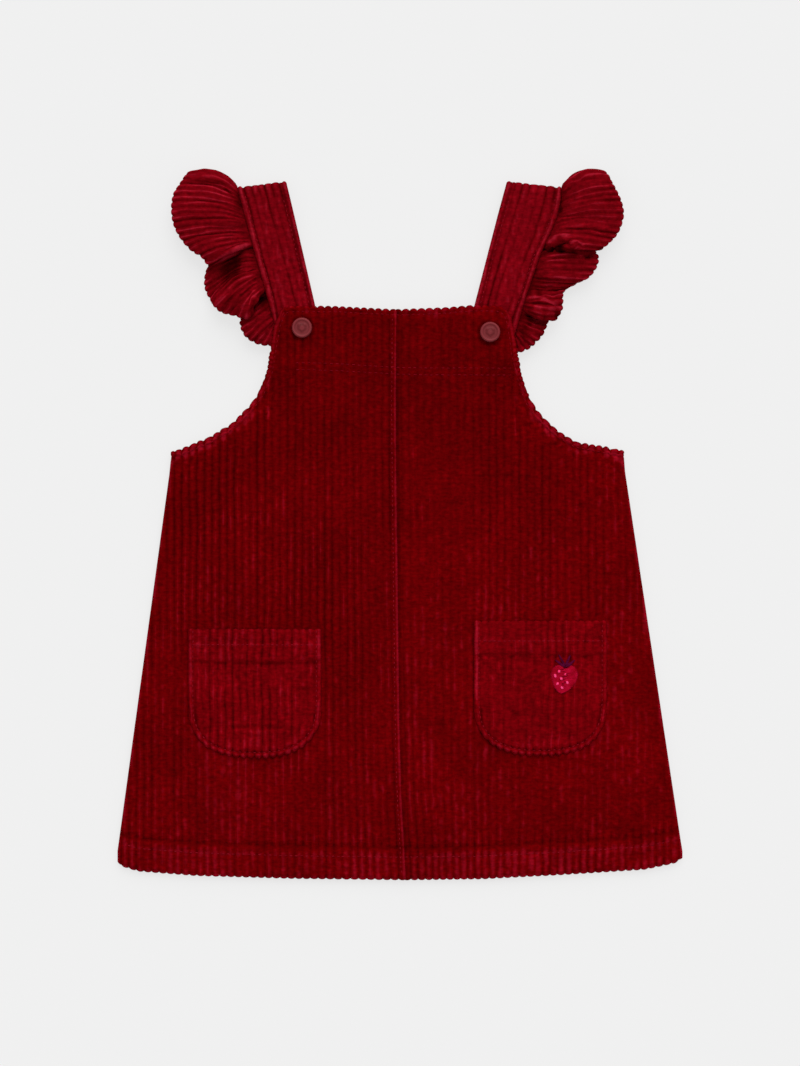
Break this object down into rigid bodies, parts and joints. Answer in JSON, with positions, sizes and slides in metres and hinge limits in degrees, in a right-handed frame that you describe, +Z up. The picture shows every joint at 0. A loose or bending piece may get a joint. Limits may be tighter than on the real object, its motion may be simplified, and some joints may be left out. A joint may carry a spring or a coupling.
{
  "type": "corduroy pinafore dress",
  "caption": "Small child's sleeveless corduroy pinafore dress with frilled shoulder straps, snap-fastened bib and patch pockets, laid flat.",
  "frame": {"origin": "on the surface the garment lies on, under the middle of its outline", "axes": "+Y up the garment towards the straps, +X to the viewer's right, +Z up from the surface towards the viewer"},
  "size_m": [0.345, 0.4344, 0.0166],
  "materials": {
    "body_corduroy": "deep red wide-wale corduroy with a soft cut pile",
    "pocket_corduroy": "the same corduroy, its nap catching more light",
    "strap_corduroy": "the same corduroy, folded double and topstitched",
    "ruffle_corduroy": "the same corduroy cut with the wales across, gathered",
    "thread": "matching dark red sewing thread",
    "embroidery": "satin-stitched strawberry in red, pink and navy thread",
    "snap_cap": "matte dark red moulded resin"
  },
  "bodies": {
    "root": {"back_panel": "body_corduroy", "front_panel_left": "body_corduroy", "front_panel_right": "body_corduroy", "pocket_left": "pocket_corduroy", "pocket_right": "pocket_corduroy", "strap_left": "strap_corduroy", "strap_right": "strap_corduroy", "ruffle_left": "ruffle_corduroy", "ruffle_right": "ruffle_corduroy", "snap_cap_left": "snap_cap", "snap_cap_right": "snap_cap"}
  },
  "joints": []
}
